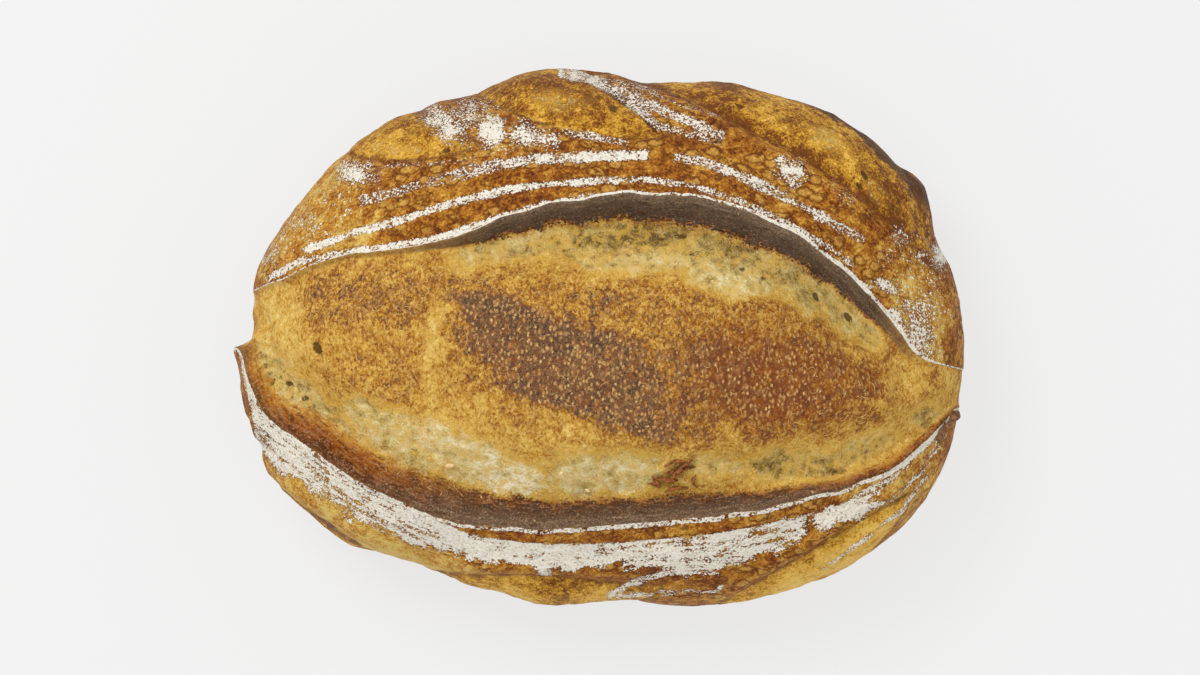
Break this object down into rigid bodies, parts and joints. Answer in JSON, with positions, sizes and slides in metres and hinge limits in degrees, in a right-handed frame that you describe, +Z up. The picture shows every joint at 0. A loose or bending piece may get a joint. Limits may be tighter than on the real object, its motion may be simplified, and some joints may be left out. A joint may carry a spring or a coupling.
{
  "type": "sourdough loaf",
  "caption": "Whole oval hearth loaf with a long burst score along the top, raised burnt crust rims, slanting side cuts and a flat underside.",
  "frame": {"origin": "middle of the overall size in X and Y, at the level of the flat underside", "axes": "+X along the loaf towards the curled tip of the front rim, +Y across it towards the side with the wider crust, +Z up through the burst top"},
  "size_m": [0.272, 0.2, 0.104],
  "materials": {
    "crust": "dry baked crust, matte with a faint sheen on the new skin, floured in places"
  },
  "bodies": {
    "root": {"loaf": "crust"}
  },
  "joints": []
}
